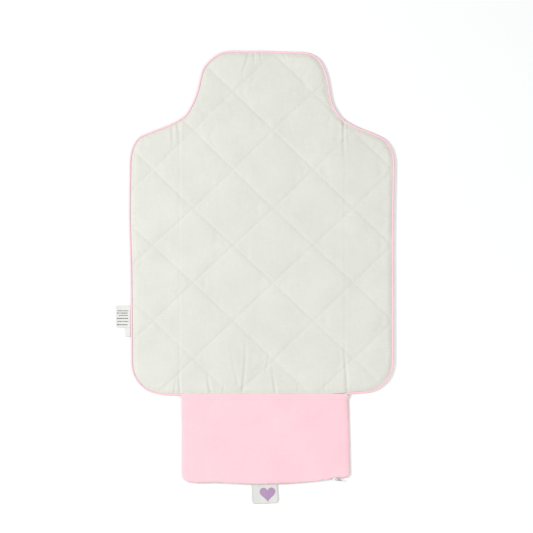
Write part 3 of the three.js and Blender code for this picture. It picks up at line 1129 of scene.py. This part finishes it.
def front_height(x, y, closed, seam_z):
    """The front cloth: softly uneven, down to its side seams, and up over the piping at its top."""
    side_off = np.minimum(x - POCKET_LEFT, POCKET_RIGHT - x)
    top_off = TUCK_Y - y
    uneven = closed * rise(top_off - 6 * MM, 8 * MM)
    height = FRONT_CROWN + 0.30 * MM * wander(x, y, 45 * MM, 21.0) * uneven
    height += 0.22 * MM * wander(x * 0.45, y * 1.9, 14 * MM, 23.0) * uneven
    height -= 0.20 * MM * swell(side_off - 11 * MM, 1.6 * MM) * rise(top_off, 12 * MM)
    at_mouth = swell(np.maximum(y - mouth_y(x), 0), 7 * MM)
    height = between(at_mouth, height, FRONT_MOUTH_Z)
    height = between(closed, FRONT_EDGE_Z + seam_z, height)
    over_piping = swell(np.maximum(top_off - OVER_PIPING[1], 0), 4 * MM)
    height = between(over_piping, height, FRONT_TOP_Z - FRONT_TOP_DIP * (top_off < 0.1 * MM))
    height -= 0.22 * MM * swell(top_off - TOP_ROW, 1.2 * MM) * closed
    return np.minimum(height, FRONT_LIMIT)


def back_height(x, y, closed, seam_z):
    """The back cloth: flat on the floor, and up to its seams."""
    top_off = TUCK_Y - y
    flat_part = closed * rise(top_off, 6 * MM) * rise(y - mouth_y(x), 7 * MM)
    height = between(flat_part, BACK_EDGE_Z + seam_z * (1 - closed), BACK_Z)
    height = between(rise(top_off - 4 * MM, 3 * MM), BACK_TOP_Z, height)
    return height + 0.3 * MM * np.maximum(0, wander(x, y, 40 * MM, 25.0)) * flat_part


def pocket_shape(x, y, front):
    """Where the flat cloth's point (x, y) lies on the finished pocket."""
    from_left, from_right = x - POCKET_LEFT, POCKET_RIGHT - x
    top_off = TUCK_Y - y
    mouth_off = y - mouth_y(x)
    down = np.clip(top_off / POCKET_HEIGHT, 0, 1)
    closed = np.minimum(rise(from_left, 3 * MM), rise(from_right, 3.8 * MM))
    seam_z = LEFT_LIFT * np.exp(-from_left / (40 * MM))
    if front:
        height = front_height(x, y, closed, seam_z)
        reach = front_edge(x)
    else:
        height = back_height(x, y, closed, seam_z)
        y = y - BACK_SHORT * np.exp(-top_off / (20 * MM))
        reach = back_edge(x)
    corner_run = np.where(x < 0, 24 * MM, 9 * MM)
    reach = reach * np.clip(np.minimum(from_left, from_right) / corner_run, 0, 1)
    y = y - reach * np.exp(-np.maximum(mouth_off, 0) / (26 * MM)) * rise(top_off, 30 * MM)
    sway = 0.8 * MM * wander(y, y * 0 + (0.0 if front else 0.2), 60 * MM, 27.0)
    lean_left = (LEAN_LEFT + sway) * rise(top_off, 4 * MM) * np.exp(-from_left / LEAN_REACH)
    lean_right = (LEAN_RIGHT * down + sway) * rise(top_off, 10 * MM) * np.exp(-from_right / LEAN_REACH)
    return np.column_stack([x + lean_left + lean_right, y, height])


def pocket_sheet(name, front):
    """One cloth of the pocket, with extra rows of points where the front goes over the piping."""
    loop = pocket_outline()
    x = np.arange(POCKET_LEFT + 1.5 * MM, POCKET_RIGHT - 1.5 * MM, MESH_STEP)
    rows = [np.stack([x, np.full(len(x), TUCK_Y - off)], axis=1) for off in OVER_PIPING]
    flat, faces = triangulate(loop, rows, MESH_STEP)
    points = pocket_shape(flat[:, 0], flat[:, 1], front)
    return subdivide(make(name, points, faces if front else faces[:, ::-1], flat, PINK))


def attach_pocket(obj):
    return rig.blend(obj, "centre", "pocket", start=(0, POCKET_TOP, 0), end=(0, POCKET_TOP - 20 * MM, 0))


front = pocket_sheet("pocket_front", True)
back = pocket_sheet("pocket_back", False)
pocket_surface = surface_tree([front])
POCKET_SIZE = (POCKET_RIGHT - POCKET_LEFT, TUCK_Y - mouth_y(0) + 6 * MM)

seam_x = np.arange(POCKET_LEFT + 3 * MM, POCKET_RIGHT - 3 * MM, MM)
mouth_x = np.arange(POCKET_LEFT + 13 * MM, POCKET_RIGHT - 11 * MM, MM)
rows = [
    pocket_shape(seam_x, np.full(len(seam_x), TUCK_Y - TOP_ROW), True)[:, :2],
    pocket_shape(mouth_x, mouth_y(mouth_x) + 2.5 * MM, True)[:, :2],
]
pocket_rows = stitches("pocket_stitches", rows, pocket_surface, PINK_THREAD, split=False)

thicken(front, 0.5 * MM)
thicken(back, 0.4 * MM)
FRONT_NODES = ["pocket_front_panel", "pocket_top_seam", "pocket_left_seam", "pocket_right_seam"]
for piece, nodes, rests in ((front, FRONT_NODES, ["pocket_back"]), (back, ["pocket_back_panel"], [])):
    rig.slot(piece, "pink_muslin")
    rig.sheet(piece, flat=POCKET_SIZE, held="laid", rests_on=rests)
    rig.replaces(piece, *nodes)
    attach_pocket(piece)
for piece in pocket_rows.values():
    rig.slot(piece, "pink_muslin")
    attach_pocket(piece)


# ---------------- zip

COIL_PITCH = 1.35 * MM
COIL_Y = -3.4 * MM
COIL_WIDTH = 1.5 * MM
COIL_HEIGHT = 0.42 * MM
COIL_SIDES = 5
WIRE = 0.24 * MM
COIL_END = 124 * MM
TAPE_END = 122 * MM
TAPE_TOP = 14 * MM
TAPE_WIDTH = 16.5 * MM


def zip_line(x, y, z):
    """A point on the zip, which sags with the mouth and is tucked in at its ends."""
    wx, wy, wz = zip_point(x, y, z)
    tucked = 4.5 * MM * np.clip((-104 * MM - wx) / (18 * MM), 0, 1) ** 2
    tucked = tucked + 2.5 * MM * np.clip((wx - 124 * MM) / (2 * MM), 0, 1)
    return wx, wy - ZIP_SAG * mouth_sag(wx) + tucked, wz


def coil(name, middle_z, phase):
    """One row of the zip: a flattened spiral of nylon wire."""
    turns = 2 * COIL_END / COIL_PITCH
    steps = int(turns * 10)
    t = np.arange(steps + 1) / 10 * 2 * math.pi + phase
    x = -COIL_END + np.arange(steps + 1) / steps * 2 * COIL_END
    y = COIL_Y + COIL_WIDTH * np.cos(t)
    z = middle_z + COIL_HEIGHT * np.sin(t)
    route = np.column_stack(zip_line(x + 0.25 * MM * np.sin(t), y, z))
    ahead = unit(np.gradient(route, axis=0))
    side = unit(np.cross(ahead, (1.0, 0.0, 0.0)))
    up = np.cross(side, ahead)
    angle = np.linspace(0, 2 * math.pi, COIL_SIDES, endpoint=False)
    ring = np.cos(angle)[None, :, None] * side[:, None] + np.sin(angle)[None, :, None] * up[:, None]
    points = (route[:, None] + WIRE * ring).reshape(-1, 3)
    return make(name, points, ring_faces(steps + 1, COIL_SIDES), material=NYLON)


def strip(name, place, columns, rows, material):
    """A rectangle of cloth. place turns (u, v), both from 0 to 1, into a point and a place on the cloth."""
    u, v = np.meshgrid(np.linspace(0, 1, columns + 1), np.linspace(0, 1, rows + 1))
    points, flat = place(u.ravel(), v.ravel())
    i, j = np.meshgrid(np.arange(columns), np.arange(rows), indexing="ij")
    a = (j * (columns + 1) + i).ravel()
    faces = np.stack([a, a + columns + 1, a + columns + 2, a + 1], axis=1)
    return make(name, points, faces, flat, material)


def tape(name, z):
    """A woven tape that carries one row, and is sewn inside the pocket's mouth."""
    def place(u, v):
        x = -TAPE_END + 2 * TAPE_END * u
        y = TAPE_TOP - TAPE_WIDTH * v
        wx, wy, wz = zip_point(x, y, np.full(len(x), z))
        wy = wy - ZIP_SAG * mouth_sag(wx) * (0.45 + 0.55 * v)
        return np.column_stack([wx, wy, wz]), np.column_stack([x, y])
    return thicken(strip(name, place, 96, 8, TAPE), 0.35 * MM, 0.0)


def blocks(name, boxes, bevel, place, material):
    """Rounded blocks joined in one piece. place turns local points into the frame's axes."""
    mesh = bmesh.new()
    for low, high in boxes:
        made = bmesh.ops.create_cube(mesh, size=1)["verts"]
        for v in made:
            v.co = [low[i] + (v.co[i] + 0.5) * (high[i] - low[i]) for i in range(3)]
    bmesh.ops.bevel(
        mesh, geom=mesh.verts[:] + mesh.edges[:], offset=bevel, segments=3, profile=0.6, affect="EDGES",
    )
    for v in mesh.verts:
        v.co = place(*v.co)
    data = bpy.data.meshes.new(name)
    mesh.to_mesh(data)
    mesh.free()
    return add_smooth(name, data, material)


def millimetre_boxes(boxes, x=0.0):
    """The boxes, given in millimetres and moved along x, in metres."""
    return [[((a + x) * MM, b * MM, c * MM) for a, b, c in box] for box in boxes]


def zip_part(piece, cad, body, slot):
    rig.slot(piece, slot)
    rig.replaces(piece, cad)
    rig.ride(piece, body)


zip_part(coil("zip_spiral_rear", 2.55 * MM, 0.0), "zip_coil_rear", "pocket", "zip_coil")
zip_part(coil("zip_spiral_front", 3.55 * MM, math.pi), "zip_coil_front", "pocket", "zip_coil")
zip_part(tape("zip_band_rear", 2.35 * MM), "zip_tape_rear", "pocket", "zip_tape")
zip_part(tape("zip_band_front", 3.3 * MM), "zip_tape_front", "pocket", "zip_tape")
for side, x in (("left", -128), ("right", 125)):
    end = millimetre_boxes([((0, -5.3, 1.9), (3, -2.1, 3.9))], x)
    stop = blocks(f"zip_end_{side}", end, 0.5 * MM, zip_line, NYLON)
    zip_part(stop, f"zip_stop_{side}", "pocket", "zip_metal")

slider = blocks("zip_slider_body", millimetre_boxes([
    ((-4, -6.9, 1.2), (4, -1.7, 1.8)),
    ((-4, -6.9, 4.4), (4, -1.7, 5.0)),
    ((-4, -6.9, 1.3), (4, -6.1, 4.9)),
    ((-3, -4.35, 4.8), (-2.2, -3.75, 7.2)),
    ((2.4, -4.35, 4.8), (3.1, -3.75, 7.2)),
    ((-3, -4.35, 6.6), (3.1, -3.75, 7.3)),
], SLIDER_X / MM), 0.25 * MM, zip_point, PLATED)
zip_part(slider, "zip_slider", "zip_slider", "zip_metal")

PULL_TURN = math.radians(-20)
PULL_EYE = (121.0 * MM, -4.05 * MM)


def pull_point(x, y, z):
    """The pull hangs loose, so it points a little off the zip's own direction."""
    turned_x = PULL_EYE[0] + x * math.cos(PULL_TURN) - y * math.sin(PULL_TURN)
    turned_y = PULL_EYE[1] + x * math.sin(PULL_TURN) + y * math.cos(PULL_TURN)
    return zip_point(turned_x, turned_y, z)


pull = blocks("zip_pull_tab", millimetre_boxes([
    ((-0.25, -2.0, 5.65), (0.25, 2.0, 6.15)),
    ((-0.25, -2.0, 5.65), (4.5, -1.5, 6.15)),
    ((-0.25, 1.5, 5.65), (4.5, 2.0, 6.15)),
    ((4.0, -2.0, 5.65), (4.6, 2.0, 6.15)),
    ((4.4, -1.2, 5.65), (10.2, 1.2, 6.15)),
]), 0.22 * MM, pull_point, DARK_METAL)
zip_part(pull, "zip_pull", "zip_pull", "zip_metal")


# ---------------- labels

CARE_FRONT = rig.box("care_label_front")
CARE_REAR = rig.box("care_label_rear")
CARE_HINGE = joints["care_label_lift"]["pos_m"][0]
CARE_SEAM = 1.5 * MM
CARE_FLOOR = 0.6 * MM


def round_off(off, radius):
    """How far short a rounded corner falls, at a distance from the side."""
    into_corner = np.maximum(0, radius - off)
    return radius - np.sqrt(np.maximum(0, radius**2 - into_corner**2))


def care_shape(low, high, lift, round_low):
    """A tag that leaves the seam, droops to the floor and curls up a little at its end."""
    seam = high.x + CARE_SEAM

    def place(u, v):
        y = low.y + v * (high.y - low.y)
        x = seam - u * (seam - low.x - 1.3 * MM - round_off(y - low.y, round_low))
        out = np.clip((high.x - x) / (24 * MM), 0, 1)
        z = between(1 - (1 - out) ** 2, high.z, CARE_FLOOR + lift)
        from_fold = (x - low.x) * 0.35 + (y - low.y) - 27 * MM
        z = z + 0.5 * MM * swell(from_fold, 2.2 * MM) * out
        z = z + 1.3 * MM * np.clip(out - 0.75, 0, 1) * 4 * (0.6 + 0.4 * np.sin(v * 6))
        return np.column_stack([x, y, z]), np.column_stack([x, y])
    return place


care_front = strip("care_tag_front", care_shape(*CARE_FRONT, 0.7 * MM, 3 * MM), 20, 30, SATIN)
care_rear = strip("care_tag_rear", care_shape(*CARE_REAR, 0.0, 1 * MM), 10, 18, SATIN)
care_tree = surface_tree([care_front])

# How far below the tag's top each row of bars is, in millimetres
BAR_ROWS = (7.6, 11.2, 15.2, 20.0, 25.2, 30.4)
BAR_GAP = 0.55 * MM


def printed_bars():
    """Rows of plain short bars, where a real tag has its small print."""
    points, faces = [], []
    low, high = CARE_FRONT
    for row, drop_by in enumerate(BAR_ROWS):
        y = high.y - drop_by * MM
        x = high.x - (2.0 + row * 3 % 4 * 0.5) * MM
        end = low.x + (4.5 + row * 7 % 5 * 0.4) * MM
        count = 0
        while x > end:
            size = (1.3 + (row * 5 + count * 3) % 4 * 0.5) * MM
            tall = 1.6 * MM if row % 2 else 1.3 * MM
            start = len(points)
            for cx, cy in ((x, y), (x - size, y), (x - size, y - tall), (x, y - tall)):
                points.append(on_surface(care_tree, cx, cy, 0.05 * MM))
            faces.append((start, start + 1, start + 2, start + 3))
            x -= size + BAR_GAP
            count += 1
    return make("care_tag_bars", points, faces, np.array(points)[:, :2], PRINT)


bars = printed_bars()
for piece, cad, flat in (
    (care_front, "care_label_front", (25.5 * MM, 36 * MM)),
    (care_rear, "care_label_rear", (10.5 * MM, 32 * MM)),
):
    thicken(piece, 0.22 * MM)
    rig.slot(piece, "label_satin")
    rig.sheet(piece, flat=flat, held="laid")
    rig.replaces(piece, cad)
    start, end = (CARE_HINGE + MM, 0, 0), (CARE_HINGE - 2 * MM, 0, 0)
    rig.blend(piece, "left_wing", "care_labels", start=start, end=end)
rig.slot(bars, "label_satin")
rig.ride(bars, "care_labels")

LOOP_LEFT, LOOP_RIGHT = -17.5 * MM, 25.5 * MM
LOOP_START = 0.4 * MM
LOOP_REACH = 41.9 * MM
LOOP_CORNER = 5 * MM
LOOP_FOLD = 1.2 * MM
LOOP_GAP = 0.3 * MM


def loop_shape(u, v):
    """A folded ribbon: down one layer, round the fold, and back along the other."""
    x = LOOP_LEFT + u * (LOOP_RIGHT - LOOP_LEFT)
    run = v * 2
    top = run <= 1
    along = np.where(top, run, 2 - run)
    reach = LOOP_REACH - round_off(np.minimum(x - LOOP_LEFT, LOOP_RIGHT - x), LOOP_CORNER)
    y = -LOOP_START - along * (reach - LOOP_START)
    into_fold = np.clip((along * reach - reach + LOOP_FOLD) / LOOP_FOLD, 0, 1)
    middle = 0.6 * MM + 0.35 * MM * np.clip(along * 2.4 - 1.2, 0, 1) * (1 + np.sin(x / MM * 0.3))
    z = middle + np.where(top, 1, -1) * LOOP_GAP * np.sqrt(1 - into_fold**2)
    wx, wy, wz = zip_point(x, y, z)
    return np.column_stack([wx, wy, wz]), np.column_stack([x, v * 2 * LOOP_REACH])


loop = strip("loop_tag", loop_shape, 30, 72, BANDED)
loop_tree = surface_tree([loop])
HEART_CENTRE = (8 * MM, -25.5 * MM)
HEART_SIZE = 0.82 * MM


def motif():
    """A plain heart, printed on the loop tag."""
    t = np.linspace(0, 2 * math.pi, 48, endpoint=False)
    hx = 16 * np.sin(t) ** 3
    hy = 13 * np.cos(t) - 5 * np.cos(2 * t) - 2 * np.cos(3 * t) - np.cos(4 * t)
    rings = 8
    points, faces = [], []
    for r in range(rings + 1):
        size = HEART_SIZE * r / rings
        for a, b in zip(hx, hy):
            x, y, _ = zip_point(HEART_CENTRE[0] + a * size, HEART_CENTRE[1] + b * size, 0)
            points.append(on_surface(loop_tree, x, y, 0.06 * MM))
    n = len(t)
    for r in range(rings):
        for j in range(n):
            k = (j + 1) % n
            corners = (r * n + j, (r + 1) * n + j, (r + 1) * n + k, r * n + k)
            faces.append(corners if r else corners[:3])
    return make("loop_tag_heart", points, faces, np.array(points)[:, :2], MOTIF)


heart = motif()
thicken(loop, 0.2 * MM)
LOOP_LIFT_Y = joints["loop_label_lift"]["pos_m"][1]
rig.slot(loop, "label_satin")
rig.sheet(loop, flat=(LOOP_RIGHT - LOOP_LEFT, 2 * LOOP_REACH), held="folded")
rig.replaces(loop, "loop_label", "loop_label_tail")
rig.blend(loop, "pocket", "loop_label", start=(0, LOOP_LIFT_Y + 3 * MM, 0), end=(0, LOOP_LIFT_Y - 2 * MM, 0))
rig.slot(heart, "label_satin")
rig.ride(heart, "loop_label")


# ---------------- stage, light and camera

def stage():
    """A pale floor without features."""
    floor = make("floor", [(-3, -3, 0), (3, -3, 0), (3, 3, 0), (-3, 3, 0)], [(0, 1, 2, 3)])
    material, tree, shader = new_material("pale_floor")
    mottle = solid_texture(tree, "ShaderNodeTexNoise", Scale=3.0, Detail=4.0)
    feed_all(tree, shader, {
        "Base Color": colour_ramp(tree, mottle, [(0.3, (0.935, 0.955, 0.945)), (0.7, (0.945, 0.965, 0.955))]),
        "Roughness": 0.9,
        "Specular IOR Level": 0.1,
    })
    floor.data.materials.append(material)
    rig.stage(floor)


def area_light(name, place, target, size, power):
    data = bpy.data.lights.new(name, "AREA")
    data.shape = "DISK"
    data.size = size
    data.energy = power
    light = add(name, data)
    light.location = place
    light.rotation_euler = (Vector(target) - Vector(place)).to_track_quat("-Z", "Y").to_euler()


def camera():
    """A long lens straight above the pad."""
    data = bpy.data.cameras.new("camera")
    data.lens = 85
    data.sensor_width = 36
    view = add("camera", data)
    view.location = (0.0071, 0.0178, 2.077)
    bpy.context.scene.camera = view


stage()
camera()
area_light("key", (-2.0, 0.28, 1.6), (0, 0.05, 0), 0.7, 34)
area_light("fill", (1.4, -0.8, 1.8), (0, 0, 0), 1.8, 12)
world = bpy.data.worlds.new("studio")
world.use_nodes = True
feed_all(world.node_tree, world.node_tree.nodes["Background"], {"Color": (1, 1, 1, 1), "Strength": 0.67})
bpy.context.scene.world = world
bpy.context.scene.view_settings.view_transform = "Standard"

with open("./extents.json", "w") as out:
    json.dump({"cad": [list(p) for p in cad_box], "visual": [list(p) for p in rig.bounds()]}, out)
